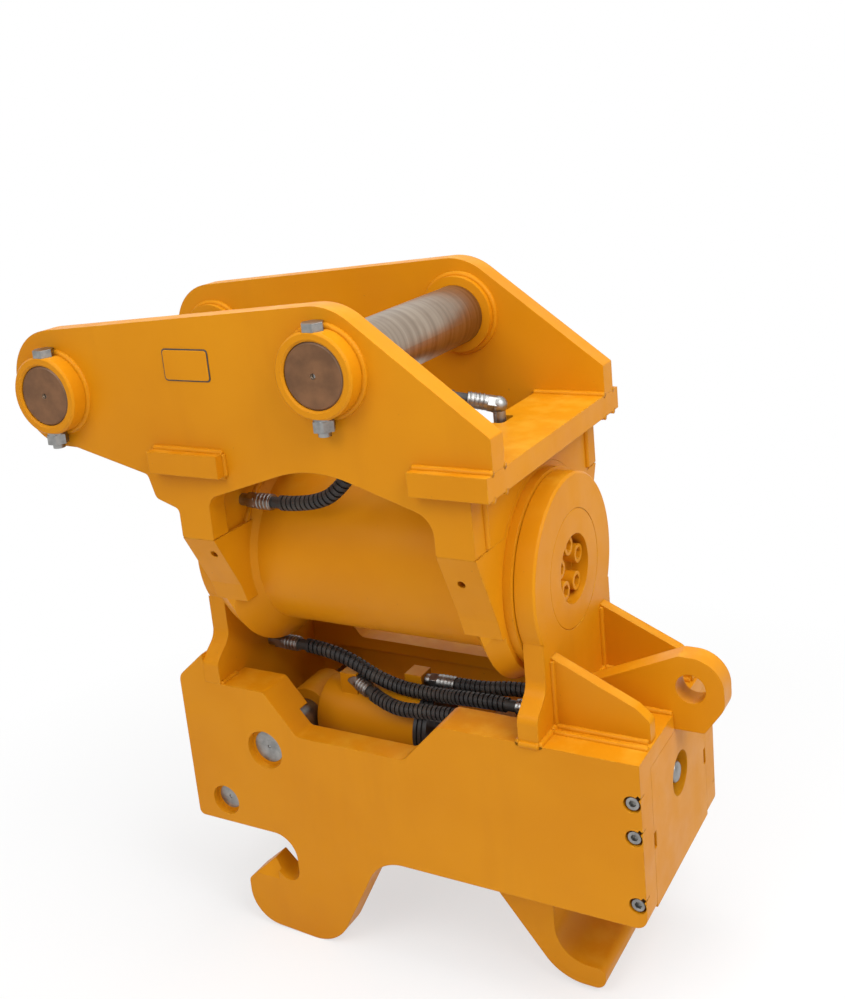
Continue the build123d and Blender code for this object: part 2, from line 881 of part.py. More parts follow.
def make_cylinder():
    """The cylinder's tube with its rear eye on the anchor pin, closed but for the gland."""
    z = cylinder_height
    body = rod_x((cylinder_start, cylinder_end), cylinder_radius, 0, z)
    eye = rod_y((-32, 32), 38, anchor_x, z) + block(
        (anchor_x, cylinder_start + 1), (-32, 32), (z - 30, z + 30)
    )
    body += eye
    body -= rod_y((-33, 33), anchor_pin_radius + pin_fit, anchor_x, z)
    body -= rod_x((cylinder_start + cylinder_back_wall, cylinder_end + 1), cylinder_bore, 0, z)
    y = (bore_port_y - 9, bore_port_y + 24)
    port = block((bore_port_x - 16, bore_port_x + 10), y, (z + 38, bore_port_z + 10))
    port += block((rod_port_x - 26, rod_port_x), (rod_port_y - 14, rod_port_y + 14), (z + 40, rod_port_z + 11))
    port -= rod_x((cylinder_start, cylinder_end), cylinder_radius - 1, 0, z)
    seat = (bore_port_x, bore_port_y, bore_port_z)
    return body + port - make_fitting(seat, lower_routes()["bore_hose"][0])


def make_gland():
    z = cylinder_height
    gland = rod_x((cylinder_end, cylinder_end + gland_length), cylinder_radius, 0, z)
    gland += rod_x((cylinder_end - 20, cylinder_end), cylinder_bore, 0, z)
    for x in (cylinder_end + 5, cylinder_end + 12):
        ring = rod_x((x, x + 2.5), cylinder_radius + 1, 0, z)
        gland -= ring - rod_x((x, x + 2.5), cylinder_radius - 2.5, 0, z)
    return gland - rod_x((cylinder_end - 21, cylinder_end + gland_length + 1), rod_radius + pin_fit, 0, z)


def make_cross_pin(x, z, radius):
    """A pin through both side plates, sunk a little in its recesses."""
    reach = side_outer - anchor_recess_depth
    pin = rod_y((-reach, reach), radius, x, z)
    for side in (-1, 1):
        pin -= Pos(x, side * reach, z) * Sphere(2.5)
    return pin


# Front safety latch

def make_latch():
    """The latch lever; its nose swings down across the mouth of the hooks."""
    corners = [
        (latch_x - 30, latch_height + 26, 20),
        (latch_x + 70, latch_height + 18, 8),
        (latch_x + 84, latch_height - 8, 6),
        (latch_x + 68, latch_height - 20, 6),
        (latch_x + 30, latch_height - 10, 16),
        (latch_x - 4, latch_height - 28, 24),
        (latch_x - 30, latch_height - 24, 20),
    ]
    lever = plate_y(corners, (-latch_half_width, latch_half_width))
    lever += rod_y((-latch_half_width, latch_half_width), 27, latch_x, latch_height)
    slot = block((latch_x - 40, latch_x + 40), (-14, 14), (latch_height - 40, latch_height + 40))
    hole = rod_y((-60, 60), latch_pin_radius + pin_fit, latch_x, latch_height)
    return lever - slot - hole


# Hoses and fittings

def hose_line(points):
    """A route of straight runs joined by tangent arcs as large as the runs allow."""
    route = [Vector(*p) for p in points]
    radii = []
    for before, here, after in zip(route, route[1:], route[2:]):
        turn = math.radians((here - before).get_angle(after - here))
        shorter = min((here - before).length, (after - here).length)
        radii.append(hose_run_share * shorter / math.tan(turn / 2))
    print("hose radii", [round(r) for r in radii])
    return FilletPolyline(*points, radius=radii)


def make_hose(points):
    line = hose_line(points)
    start = Plane(origin=line @ 0, z_dir=line % 0)
    hose = sweep(start * Circle(hose_radius), path=line)
    expected = math.pi * hose_radius**2 * line.length
    print("hose length", round(line.length), "volume ratio", round(hose.volume / expected, 4))
    return hose


def towards(start, target, distance):
    """A point that far from the start on the way to the target."""
    way = Vector(*target) - Vector(*start)
    point = Vector(*start) + way.normalized() * distance
    return (point.X, point.Y, point.Z)


def make_fitting(seat, hose_end):
    """An adapter with a hex nut from the seat, and the ferrule that grips the hose's end."""
    way = Vector(*hose_end) - Vector(*seat)
    plane = Plane(origin=seat, z_dir=way)
    nut_start = way.length - ferrule_length - adapter_flats * 0.6
    fitting = extrude(plane * Circle(adapter_radius), amount=way.length - ferrule_length + 1)
    nut = plane.offset(nut_start) * RegularPolygon(adapter_flats / 2, 6, major_radius=False)
    fitting += extrude(nut, amount=adapter_flats * 0.6)
    ferrule = plane.offset(way.length - ferrule_length) * Circle(ferrule_radius)
    return fitting + extrude(ferrule, amount=ferrule_length)


def upper_hose_points():
    """From the front port over the barrel to the elbow above the load holding valve."""
    start_x = front_saddle[1] + front_port_reach + adapter_flats * 0.6 + ferrule_length
    elbow = valve_elbow()
    above_barrel = (405, -72, 182)
    crest = (elbow[0] - 95, elbow[1] - 51, elbow[2] + 28)
    return [
        (start_x, front_port_y, front_port_z),
        (start_x + 68, front_port_y, front_port_z),
        (385, -100, 127),
        above_barrel,
        crest,
        towards(elbow, crest, valve_hose_reach),
    ]


def valve_elbow():
    notch_middle = rear_base_start + hose_notch_depth - valve_elbow_radius - 1
    return (notch_middle, hose_notch_y, valve_elbow_height)


def make_upper_fittings():
    points = upper_hose_points()
    front = make_fitting((front_saddle[1], front_port_y, front_port_z), points[0])
    x, y, z = valve_elbow()
    elbow = rod_z((valve_top, z), adapter_radius, x, y) + Pos(x, y, z) * Sphere(valve_elbow_radius)
    elbow += hex_z((valve_top, valve_top + 8), adapter_flats, x, y)
    elbow += make_fitting((x, y, z), points[-1])
    return Compound(children=[front, elbow])


def make_valve():
    """The load holding valve on top of the barrel, with its cartridge."""
    x = (valve_start, valve_start + valve_length)
    low_y, high_y = valve_y
    valve = block(x, valve_y, (90, valve_top))
    valve = chamfer(valve.edges().filter_by(Axis.Z), 3)
    valve += rod_x((valve_start - 30, valve_start), 11, 0, 0).moved(
        Location((0, (low_y + high_y) / 2, valve_top - 15))
    )
    return valve - housing_envelope()


def lower_routes():
    """Routes of the three hoses in the lower frame: to the latch, the bore and the rod end."""
    latch_start = left_upright_face + 50
    manifold = right_upright_face - 50
    latch = [
        (latch_start, latch_line_y, latch_line_z),
        (latch_start + 64, latch_line_y, latch_line_z),
        (352, -13, -199),
        (436, -17, -199),
        (manifold - 58, manifold_latch_y, manifold_latch_z),
        (manifold, manifold_latch_y, manifold_latch_z),
    ]
    bore = [
        towards((bore_port_x, bore_port_y, bore_port_z), (378, -50, -211), 38),
        (378, -50, -211),
        (430, -50, -206),
        (manifold - 60, manifold_bore_y, manifold_bore_z),
        (manifold, manifold_bore_y, manifold_bore_z),
    ]
    rod = [
        (rod_port_x + 46, rod_port_y, rod_port_z),
        (rod_port_x + 88, rod_port_y, rod_port_z),
        (manifold - 30, manifold_rod_y, manifold_rod_z),
        (manifold + 12, manifold_rod_y, manifold_rod_z),
    ]
    return {"latch_hose": latch, "bore_hose": bore, "rod_hose": rod}


def make_lower_fittings():
    routes = lower_routes()
    latch, bore, rod = routes["latch_hose"], routes["bore_hose"], routes["rod_hose"]
    seats = [
        ((left_upright_face, *latch[0][1:]), latch[0]),
        ((right_upright_face, *latch[-1][1:]), latch[-1]),
        ((bore_port_x, bore_port_y, bore_port_z), bore[0]),
        ((right_upright_face, *bore[-1][1:]), bore[-1]),
        ((rod_port_x, *rod[0][1:]), rod[0]),
        ((right_upright_face, *rod[-1][1:]), rod[-1]),
    ]
    return Compound(children=[make_fitting(seat, end) for seat, end in seats])


def write_parts(parts):
    for name, shape in parts.items():
        moved = Pos(0, 0, -stick_pin_height) * shape
        export_step(moved, f"parts/{name}.step")


def build():
    ear = make_ear_plate()
    gusset = make_gusset()
    bolts = [make_cross_bolt(x, z) for x, z in pin_places()]
    nuts = [make_cross_nut(x, z) for x, z in pin_places()]
    left, right = left_upright_face, right_upright_face
    return {
        "ear_plate_near": mirror_y(ear),
        "ear_plate_far": ear,
        "stick_pin_bosses": make_bosses(0, stick_pin_height),
        "link_pin_bosses": make_bosses(link_pin_x, link_pin_height),
        "stick_pin": make_pin(0, stick_pin_height),
        "link_pin": make_pin(link_pin_x, link_pin_height),
        "cross_bolts": both_sides(Compound(children=bolts)),
        "cross_bolt_nuts": both_sides(Compound(children=nuts)),
        "front_base_plate": front_base_space(),
        "rear_base_plate": make_rear_base_plate(),
        "front_saddle_plate": make_saddle(front_saddle, front_leg_bottom),
        "rear_saddle_plate": make_saddle(rear_saddle, rear_leg_bottom),
        "actuator_housing": make_housing(),
        "ring_gear": make_ring_gear(),
        "front_end_ring": make_end_ring(housing_start, -1),
        "rear_end_ring": make_end_ring(housing_end, 1),
        "shaft_bushes": Compound(
            children=[make_bush(housing_start, -1), make_bush(housing_end, 1)]
        ),
        "piston_sleeve": make_piston(),
        "piston_seals": make_piston_seals(),
        "tilt_shaft": make_shaft(),
        "front_flange_disc": make_flange_disc(left, -1),
        "rear_flange_disc": make_flange_disc(right, 1),
        "front_disc_bolts": make_disc_bolts(left, -1),
        "rear_disc_bolts": make_disc_bolts(right, 1),
        "front_upright": make_upright(left, -1, front_upright_foot, 0),
        "rear_upright": make_upright(right, 1, rear_upright_foot, 0),
        "side_plate_near": mirror_y(make_side_plate(window_bottom)),
        "side_plate_far": make_side_plate(far_window_bottom),
        "deck_plate": make_deck(),
        "gusset_near": mirror_y(gusset),
        "gusset_far": gusset,
        "lifting_eye": make_lifting_eye(),
        "end_cover": make_end_cover(),
        "cover_screws": make_cover_screws(),
        "front_cross_plate": make_front_cross_plate(),
        "claw_guides": make_guides(),
        "rear_claw": make_claw(),
        "piston_rod": make_rod(),
        "rod_nut": make_rod_nut(),
        "lock_cylinder": make_cylinder(),
        "cylinder_gland": make_gland(),
        "anchor_pin": make_cross_pin(anchor_x, cylinder_height, anchor_pin_radius),
        "latch_pin": make_cross_pin(latch_x, latch_height, latch_pin_radius),
        "front_latch": make_latch(),
        "load_holding_valve": make_valve(),
        "upper_hose": make_hose(upper_hose_points()),
        "upper_fittings": make_upper_fittings(),
        "lower_fittings": make_lower_fittings(),
        **{name: make_hose(points) for name, points in lower_routes().items()},
    }


write_parts(build())
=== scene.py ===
import json
import math
import random

import bmesh
import bpy
from mathutils import Matrix, Vector


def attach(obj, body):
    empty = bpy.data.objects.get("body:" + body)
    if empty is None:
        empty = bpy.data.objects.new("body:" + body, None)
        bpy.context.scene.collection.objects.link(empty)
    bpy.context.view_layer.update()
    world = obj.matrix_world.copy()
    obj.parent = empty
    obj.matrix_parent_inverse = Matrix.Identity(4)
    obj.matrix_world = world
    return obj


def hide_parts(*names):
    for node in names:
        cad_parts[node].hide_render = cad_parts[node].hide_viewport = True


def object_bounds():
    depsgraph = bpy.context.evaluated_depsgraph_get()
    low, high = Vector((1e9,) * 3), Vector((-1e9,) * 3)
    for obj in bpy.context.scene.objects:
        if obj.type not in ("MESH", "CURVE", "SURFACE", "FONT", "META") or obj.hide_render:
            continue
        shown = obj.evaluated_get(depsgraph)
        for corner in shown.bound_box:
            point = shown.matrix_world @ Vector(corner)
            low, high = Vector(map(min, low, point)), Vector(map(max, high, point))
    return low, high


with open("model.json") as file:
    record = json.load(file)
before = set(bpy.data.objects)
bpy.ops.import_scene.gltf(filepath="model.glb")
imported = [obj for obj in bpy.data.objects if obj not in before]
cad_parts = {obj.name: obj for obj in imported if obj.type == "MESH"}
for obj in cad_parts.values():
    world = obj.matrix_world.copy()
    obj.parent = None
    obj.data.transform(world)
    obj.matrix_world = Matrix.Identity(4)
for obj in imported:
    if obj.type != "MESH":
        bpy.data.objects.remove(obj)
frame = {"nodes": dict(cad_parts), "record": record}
CAD_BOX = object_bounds()
RNG = random.Random(7)

# The CAD model was drawn about the tilt axis, 247 mm below the origin; so are the values here.
AXIS_HEIGHT = 247.0
UPPER = "upper_frame"
LOWER = "lower_frame"
CLAW = "claw"
EAR_OUTER = 181
EAR_INNER = 151
DECK_TOP = -168.0


def at(x, y, z):
    """A point in metres from millimetres about the tilt axis."""
    return Vector((x, y, z - AXIS_HEIGHT)) / 1000


# ---------------------------------------------------------------- materials

def new_material(name):
    material = bpy.data.materials.new(name)
    material.use_nodes = True
    tree = material.node_tree
    shader = next(n for n in tree.nodes if n.type == "BSDF_PRINCIPLED")
    return material, tree, shader


def add(tree, kind, **values):
    """A node with the given inputs set by name."""
    node = tree.nodes.new(kind)
    for key, value in values.items():
        node.inputs[key.replace("_", " ")].default_value = value
    return node


def noise(tree, coords, scale, detail=4.0, roughness=0.55, stretch=(1, 1, 1)):
    mapping = tree.nodes.new("ShaderNodeMapping")
    mapping.inputs["Scale"].default_value = stretch
    tree.links.new(coords, mapping.inputs["Vector"])
    node = add(tree, "ShaderNodeTexNoise", Scale=scale, Detail=detail, Roughness=roughness)
    tree.links.new(mapping.outputs["Vector"], node.inputs["Vector"])
    return node.outputs["Fac"]


def ramp(tree, value, low, high, low_out=0.0, high_out=1.0):
    node = tree.nodes.new("ShaderNodeMapRange")
    node.inputs["From Min"].default_value = low
    node.inputs["From Max"].default_value = high
    node.inputs["To Min"].default_value = low_out
    node.inputs["To Max"].default_value = high_out
    tree.links.new(value, node.inputs["Value"])
    return node.outputs["Result"]


def mix(tree, factor, first, second):
    """A colour mix; first and second are colours or sockets, factor is a socket."""
    node = tree.nodes.new("ShaderNodeMix")
    node.data_type = "RGBA"
    tree.links.new(factor, node.inputs[0])
    for index, value in ((6, first), (7, second)):
        if isinstance(value, bpy.types.NodeSocket):
            tree.links.new(value, node.inputs[index])
        else:
            node.inputs[index].default_value = (*value, 1)
    return node.outputs[2]


def multiply(tree, first, second):
    node = tree.nodes.new("ShaderNodeMath")
    node.operation = "MULTIPLY"
    tree.links.new(first, node.inputs[0])
    if isinstance(second, bpy.types.NodeSocket):
        tree.links.new(second, node.inputs[1])
    else:
        node.inputs[1].default_value = second
    return node.outputs[0]


def bump(tree, shader, height, strength, distance, base=None):
    node = add(tree, "ShaderNodeBump", Strength=strength, Distance=distance)
    tree.links.new(height, node.inputs["Height"])
    if base is not None:
        tree.links.new(base, node.inputs["Normal"])
    tree.links.new(node.outputs["Normal"], shader.inputs["Normal"])
    return node.outputs["Normal"]


def edge_mask(tree, radius):
    """1 on sharp edges, 0 on flat faces, from a rounded normal; also gives that normal."""
    bevel = add(tree, "ShaderNodeBevel", Radius=radius)
    bevel.samples = 4
    geometry = tree.nodes.new("ShaderNodeNewGeometry")
    dot = tree.nodes.new("ShaderNodeVectorMath")
    dot.operation = "DOT_PRODUCT"
    tree.links.new(bevel.outputs["Normal"], dot.inputs[0])
    tree.links.new(geometry.outputs["Normal"], dot.inputs[1])
    return ramp(tree, dot.outputs["Value"], 0.995, 0.86), bevel.outputs["Normal"]


def paint_material():
    """Fresh yellow enamel: slight orange peel, cloudy tone, painted light on upward faces, painted
    highlight on the edges.
    """
    material, tree, shader = new_material("yellow_paint_look")
    coords = tree.nodes.new("ShaderNodeTexCoord").outputs["Object"]
    tone = ramp(tree, noise(tree, coords, 5.0, 3.0), 0.3, 0.7)
    colour = mix(tree, tone, (0.585, 0.212, 0.003), (0.64, 0.247, 0.004))
    runs = ramp(tree, noise(tree, coords, 16.0, 5.0, stretch=(1, 1, 0.18)), 0.56, 0.8)
    colour = mix(tree, multiply(tree, runs, 0.22), colour, (0.46, 0.15, 0.004))
    specks = ramp(tree, noise(tree, coords, 210.0, 2.0), 0.74, 0.79)
    colour = mix(tree, multiply(tree, specks, 0.45), colour, (0.20, 0.08, 0.015))
    geometry = tree.nodes.new("ShaderNodeNewGeometry")
    split = tree.nodes.new("ShaderNodeSeparateXYZ")
    tree.links.new(geometry.outputs["Normal"], split.inputs[0])
    # Painted light: faces that look up are blended, in blotches, towards a lighter yellow.
    ledge = ramp(tree, split.outputs["Z"], 0.75, 1.0)
    painted_top_light = multiply(tree, ledge, ramp(tree, noise(tree, coords, 30.0, 6.0), 0.45, 0.75, 0, 0.30))
    colour = mix(tree, painted_top_light, colour, (0.80, 0.50, 0.06))
    edges, rounded = edge_mask(tree, 0.0016)
    # Painted highlight: sharp edges are blended, in patches, towards a lighter orange.
    painted_edge_highlight = multiply(tree, edges, ramp(tree, noise(tree, coords, 75.0, 6.0), 0.5, 0.62))
    colour = mix(tree, multiply(tree, painted_edge_highlight, 0.5), colour, (0.85, 0.46, 0.03))
    tree.links.new(colour, shader.inputs["Base Color"])
    rough = ramp(tree, noise(tree, coords, 24.0, 5.0), 0.3, 0.7, 0.33, 0.50)
    tree.links.new(rough, shader.inputs["Roughness"])
    shader.inputs["Specular IOR Level"].default_value = 0.12
    peel = noise(tree, coords, 420.0, 2.0)
    bump(tree, shader, peel, 0.10, 0.0006, rounded)
    return material


def steel_material(name, base, dark, roughness):
    """Bare or plated steel with a slight grain; roughness is a (low, high) pair."""
    material, tree, shader = new_material(name)
    coords = tree.nodes.new("ShaderNodeTexCoord").outputs["Object"]
    lines = noise(tree, coords, 90.0, 4.0)
    colour = mix(tree, ramp(tree, lines, 0.3, 0.7), dark, base)
    tree.links.new(colour, shader.inputs["Base Color"])
    shader.inputs["Metallic"].default_value = 1.0
    low, high = roughness
    tree.links.new(
        ramp(tree, noise(tree, coords, 45.0, 5.0), 0.3, 0.7, low, high), shader.inputs["Roughness"]
    )
    _, rounded = edge_mask(tree, 0.0008)
    bump(tree, shader, lines, 0.08, 0.0006, rounded)
    return material


def pin_material():
    """Turned steel with bands round it; the end faces are dull, brown and smeared."""
    material, tree, shader = new_material("pin_steel_look")
    coords = tree.nodes.new("ShaderNodeTexCoord").outputs["Object"]
    bands = noise(tree, coords, 130.0, 4.0, stretch=(0.02, 1, 0.02))
    turned = mix(tree, ramp(tree, bands, 0.32, 0.68), (0.26, 0.20, 0.15), (0.41, 0.335, 0.26))
    smears = ramp(tree, noise(tree, coords, 26.0, 5.0), 0.5, 0.72, 0, 0.45)
    turned = mix(tree, smears, turned, (0.22, 0.15, 0.10))
    cloudy = ramp(tree, noise(tree, coords, 38.0, 5.0), 0.35, 0.7)
    ends = mix(tree, cloudy, (0.13, 0.058, 0.022), (0.22, 0.10, 0.04))
    split = tree.nodes.new("ShaderNodeSeparateXYZ")
    tree.links.new(tree.nodes.new("ShaderNodeTexCoord").outputs["Normal"], split.inputs[0])
    facing = tree.nodes.new("ShaderNodeMath")
    facing.operation = "ABSOLUTE"
    tree.links.new(split.outputs["Y"], facing.inputs[0])
    end_face = ramp(tree, facing.outputs[0], 0.5, 0.8)
    tree.links.new(mix(tree, end_face, turned, ends), shader.inputs["Base Color"])
    tree.links.new(ramp(tree, end_face, 0, 1, 1.0, 0.35), shader.inputs["Metallic"])
    tree.links.new(ramp(tree, end_face, 0, 1, 0.34, 0.58), shader.inputs["Roughness"])
    _, rounded = edge_mask(tree, 0.0008)
    bump(tree, shader, bands, 0.10, 0.0006, rounded)
    return material


def rubber_material(name, base, light, grain):
    """Hose cover: dark, slightly dusty, with a faint texture as fine as grain says."""
    material, tree, shader = new_material(name)
    coords = tree.nodes.new("ShaderNodeTexCoord").outputs["Object"]
    dusty = ramp(tree, noise(tree, coords, 40.0, 6.0), 0.42, 0.75)
    tree.links.new(mix(tree, dusty, base, light), shader.inputs["Base Color"])
    shader.inputs["Roughness"].default_value = 0.62
    bump(tree, shader, noise(tree, coords, grain, 3.0), 0.25, 0.0006)
    return material


def plain_material(name, base, roughness):
    """One tone with slightly darker clouds."""
    material, tree, shader = new_material(name)
    coords = tree.nodes.new("ShaderNodeTexCoord").outputs["Object"]
    tone = ramp(tree, noise(tree, coords, 60.0, 5.0), 0.3, 0.7)
    darker = tuple(0.72 * c for c in base)
    tree.links.new(mix(tree, tone, darker, base), shader.inputs["Base Color"])
    shader.inputs["Roughness"].default_value = roughness
    bump(tree, shader, noise(tree, coords, 300.0, 2.0), 0.12, 0.0004)
    return material


PAINT = paint_material()
PIN = pin_material()
ZINC = steel_material("zinc_look", (0.36, 0.355, 0.34), (0.20, 0.20, 0.195), (0.30, 0.46))
GEAR = steel_material("gear_steel_look", (0.44, 0.44, 0.46), (0.28, 0.28, 0.30), (0.22, 0.36))
CHROME = steel_material("chrome_look", (0.78, 0.78, 0.78), (0.62, 0.62, 0.62), (0.07, 0.14))
BRONZE = steel_material("bronze_look", (0.52, 0.33, 0.14), (0.36, 0.22, 0.09), (0.28, 0.42))
GLAND = plain_material("gland_look", (0.035, 0.032, 0.03), 0.42)
SEAL = plain_material("seal_look", (0.02, 0.02, 0.02), 0.5)
HOSE = rubber_material("hose_look", (0.020, 0.018, 0.017), (0.055, 0.045, 0.036), 260.0)
GUARD = rubber_material("guard_look", (0.016, 0.014, 0.014), (0.06, 0.05, 0.04), 340.0)
PLUG = plain_material("plug_look", (0.14, 0.022, 0.014), 0.5)

LOOKS = {
    "yellow_paint": PAINT,
    "pin_steel": PIN,
    "zinc_steel": ZINC,
    "gear_steel": GEAR,
    "chrome_steel": CHROME,
    "bronze": BRONZE,
    "dark_gland": GLAND,
    "seal_rubber": SEAL,
    "hose_rubber": HOSE,
}

# These two pins are plain grey in the photograph, without the big pins' brown ends.
PLAIN_PINS = ("anchor_pin", "latch_pin")

for part in frame["record"]["subparts"]:
    node = frame["nodes"][part["node"]]
    look = ZINC if part["node"] in PLAIN_PINS else LOOKS[part["material_slot"]]
    if not node.material_slots:
        node.data.materials.append(look)
    for material_slot in node.material_slots:
        material_slot.material = look


# ---------------------------------------------------------------- mesh helpers

def new_piece(name, verts, faces, body, material, smooth=True):
    mesh = bpy.data.meshes.new(name)
    mesh.from_pydata([tuple(v) for v in verts], [], faces)
    mesh.validate()
    mesh.materials.append(material)
    piece = bpy.data.objects.new(name, mesh)
    bpy.context.collection.objects.link(piece)
    builder = bmesh.new()
    builder.from_mesh(mesh)
    bmesh.ops.recalc_face_normals(builder, faces=builder.faces)
    builder.to_mesh(mesh)
    builder.free()
    for polygon in mesh.polygons:
        polygon.use_smooth = smooth
    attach(piece, body)
    return piece


def frames_along(points, closed):
    """Tangent, side and up at each point of a path, turning as little as possible."""
    count = len(points)
    tangents = []
    for i in range(count):
        before = points[(i - 1) % count] if closed or i else points[0]
        after = points[(i + 1) % count] if closed or i < count - 1 else points[-1]
        tangents.append((after - before).normalized())
    side = tangents[0].orthogonal().normalized()
    result = []
    for tangent in tangents:
        side = (side - tangent * side.dot(tangent)).normalized()
        result.append((tangent, side, tangent.cross(side)))
    return result


def tube(points, radius_at, segments=10, closed=False):
    """Vertices and faces of a round tube along points; radius_at takes the point's number."""
    verts, faces = [], []
    for i, (point, (_, side, up)) in enumerate(zip(points, frames_along(points, closed))):
        for k in range(segments):
            angle = 2 * math.pi * k / segments
            radius = radius_at(i)
            verts.append(point + radius * (math.cos(angle) * side + math.sin(angle) * up))
    rings = len(points)
    for i in range(rings if closed else rings - 1):
        for k in range(segments):
            a = i * segments + k
            b = i * segments + (k + 1) % segments
            c = ((i + 1) % rings) * segments + (k + 1) % segments
            d = ((i + 1) % rings) * segments + k
            faces.append((a, b, c, d))
    if not closed:
        faces.append(tuple(range(segments))[::-1])
        faces.append(tuple((rings - 1) * segments + k for k in range(segments)))
    return verts, faces


def resample(points, step, closed=False):
    """Points evenly spaced along a run of straight lines."""
    path = [*points, points[0]] if closed else list(points)
    lengths = [(b - a).length for a, b in zip(path, path[1:])]
    total = sum(lengths)
    count = max(4, round(total / step))
    result = []
    for i in range(count if closed else count + 1):
        want = total * i / count
        for a, b, length in zip(path, path[1:], lengths):
            if want <= length or b is path[-1] and a is path[-2]:
                result.append(a.lerp(b, min(1.0, want / length)))
                break
            want -= length
    return result


def weld(name, points, body, size=4.2, closed=False):
    """A bead of weld: a low ripple, one step per drop, a little uneven."""
    path = resample([at(*p) for p in points], 0.0016, closed)
    wobble = RNG.uniform(0, 6)
    radius = size / 1000

    def radius_at(i):
        drop = abs(math.sin(i * 1.15 + wobble))
        return radius * (0.88 + 0.14 * drop + 0.04 * math.sin(i * 0.21 + wobble))

    verts, faces = tube(path, radius_at, 8, closed)
    return new_piece(name, verts, faces, body, PAINT)


def circle_points(x, y, z, radius, plane, count=72, start=0.0, end=360.0):
    """Points on a circle in the XZ plane ("y") or the YZ plane ("x"), in millimetres."""
    points = []
    for i in range(count):
        angle = math.radians(start + (end - start) * i / count)
        a, b = radius * math.cos(angle), radius * math.sin(angle)
        points.append((x + a, y, z + b) if plane == "y" else (x, y + a, z + b))
    return points


# ---------------------------------------------------------------- welds

def upper_welds():
    out, inner = EAR_OUTER + 0.5, EAR_INNER - 0.5
    for side, tag in ((-1, "near"), (1, "far")):
        for x, z, pin in ((0, 247, "stick"), (425, 287, "link")):
            for y, face in ((EAR_OUTER, "out"), (EAR_INNER, "in")):
                ring = circle_points(x, side * y, z, 53, "y")
                weld(f"weld_{pin}_boss_{face}_{tag}", ring, UPPER, 4.6, closed=True)
        for x0, x1, name in ((153, 262, "front"), (528, 627.5, "rear")):
            for y, face in ((out, "out"), (inner, "in")):
                for z, level in ((180, "top"), (150.5, "low")):
                    line = [(x0, side * y, z), (x1, side * y, z)]
                    weld(f"weld_{name}_base_{face}_{level}_{tag}", line, UPPER, 4.4)
            ends = (x0, x1) if name == "front" else (x0,)
            for x in ends:
                line = [(x, side * out, 151), (x, side * out, 179)]
                weld(f"weld_{name}_base_end_{round(x)}_{tag}", line, UPPER, 4.0)
        for x, low, name in (
            (178, 112, "front_a"),
            (222, 66, "front_b"),
            (553, 80, "rear_a"),
            (597, 80, "rear_b"),
        ):
            line = [(x, side * inner, low), (x, side * inner, 148)]
            weld(f"weld_saddle_{name}_{tag}", line, UPPER, 4.4)
    for x, name in ((222.3, "front"), (552.7, "rear")):
        arc = circle_points(x, 0, 0, 124, "x", 60, 22, 158)
        weld(f"weld_foot_{name}", arc, UPPER, 5.0)
        weld(f"weld_saddle_top_{name}", [(x, -146, 150.5), (x, 146, 150.5)], UPPER, 4.4)


def lower_welds():
    bead = DECK_TOP + 0.5
    for side, tag in ((-1, "near"), (1, "far")):
        for x in (139, 166):
            line = [(x, side * 136, DECK_TOP), (x, side * 104, DECK_TOP)]
            weld(f"weld_front_upright_{x}_{tag}", line, LOWER, 4.2)
        for x in (609, 636):
            line = [(x, side * 138, bead), (x, side * 103, bead)]
            weld(f"weld_rear_upright_{x}_{tag}", line, LOWER, 4.6)
        line = [(610, side * 138, DECK_TOP), (635.5, side * 138, DECK_TOP)]
        weld(f"weld_rear_upright_side_{tag}", line, LOWER, 4.4)
        line = [(638, side * 102, DECK_TOP), (756, side * 102, DECK_TOP)]
        weld(f"weld_deck_{tag}", line, LOWER, 4.0)
        for y in (88, 72):
            line = [(638, side * y, bead), (752, side * y, bead)]
            weld(f"weld_gusset_foot_{y}_{tag}", line, LOWER, 4.6)
            line = [(636, side * y, -165), (636, side * y, -82)]
            weld(f"weld_gusset_back_{y}_{tag}", line, LOWER, 4.2)
        weld(f"weld_eye_{tag}", [(638, side * 15, bead), (756, side * 15, bead)], LOWER, 4.6)
    weld("weld_deck_back", [(636, -100, bead), (636, 100, bead)], LOWER, 4.6)


upper_welds()
lower_welds()


# ---------------------------------------------------------------- hoses

HOSE_MM = 15.0
GUARD_START = 0.04
GUARD_END = 0.96
GUARD_PITCH = 0.0072
GUARD_WIDTH_SHARE = 0.68
GUARD_GAP = 0.0002
GUARD_THICKNESS = 0.0021
ROUTES = {
    "upper_hose": (
        UPPER,
        [
            (271.4, -108, 92),
            (339.4, -108, 92),
            (385, -100, 127),
            (405, -72, 182),
            (443, -28, 226),
            (503.9, 4.7, 208.1),
        ],
    ),
    "latch_hose": (
        LOWER,
        [
            (215.5, -18, -156),
            (279.5, -18, -156),
            (352, -13, -199),
            (436, -17, -199),
            (501.5, -34, -184),
            (559.5, -34, -184),
        ],
    ),
    "bore_hose": (
        LOWER,
        [
            (334.39, -31.55, -202.05),
            (378, -50, -211),
            (430, -50, -206),
            (499.5, -58, -198),
            (559.5, -58, -198),
        ],
    ),
    "rod_hose": (
        LOWER,
        [(446, 12, -195), (488, 12, -195), (529.5, 20, -190), (571.5, 20, -190)],
    ),
}


def hose_curve(name, route):
    curve = bpy.data.curves.new(name, "CURVE")
    curve.dimensions = "3D"
    spline = curve.splines.new("NURBS")
    spline.points.add(len(route) - 1)
    for point, place in zip(spline.points, route):
        point.co = (*at(*place), 1)
    spline.order_u = 3
    spline.use_endpoint_u = True
    spline.resolution_u = 14
    piece = bpy.data.objects.new(name, curve)
    bpy.context.collection.objects.link(piece)
    return piece


def spline_points(piece):
    """The points of a curve's spline, read while it has no bevel."""
    bpy.context.view_layer.update()
    line = bpy.data.meshes.new_from_object(piece)
    points = [v.co.copy() for v in line.vertices]
    bpy.data.meshes.remove(line)
    return points


def path_length(points):
    return sum((b - a).length for a, b in zip(points, points[1:]))


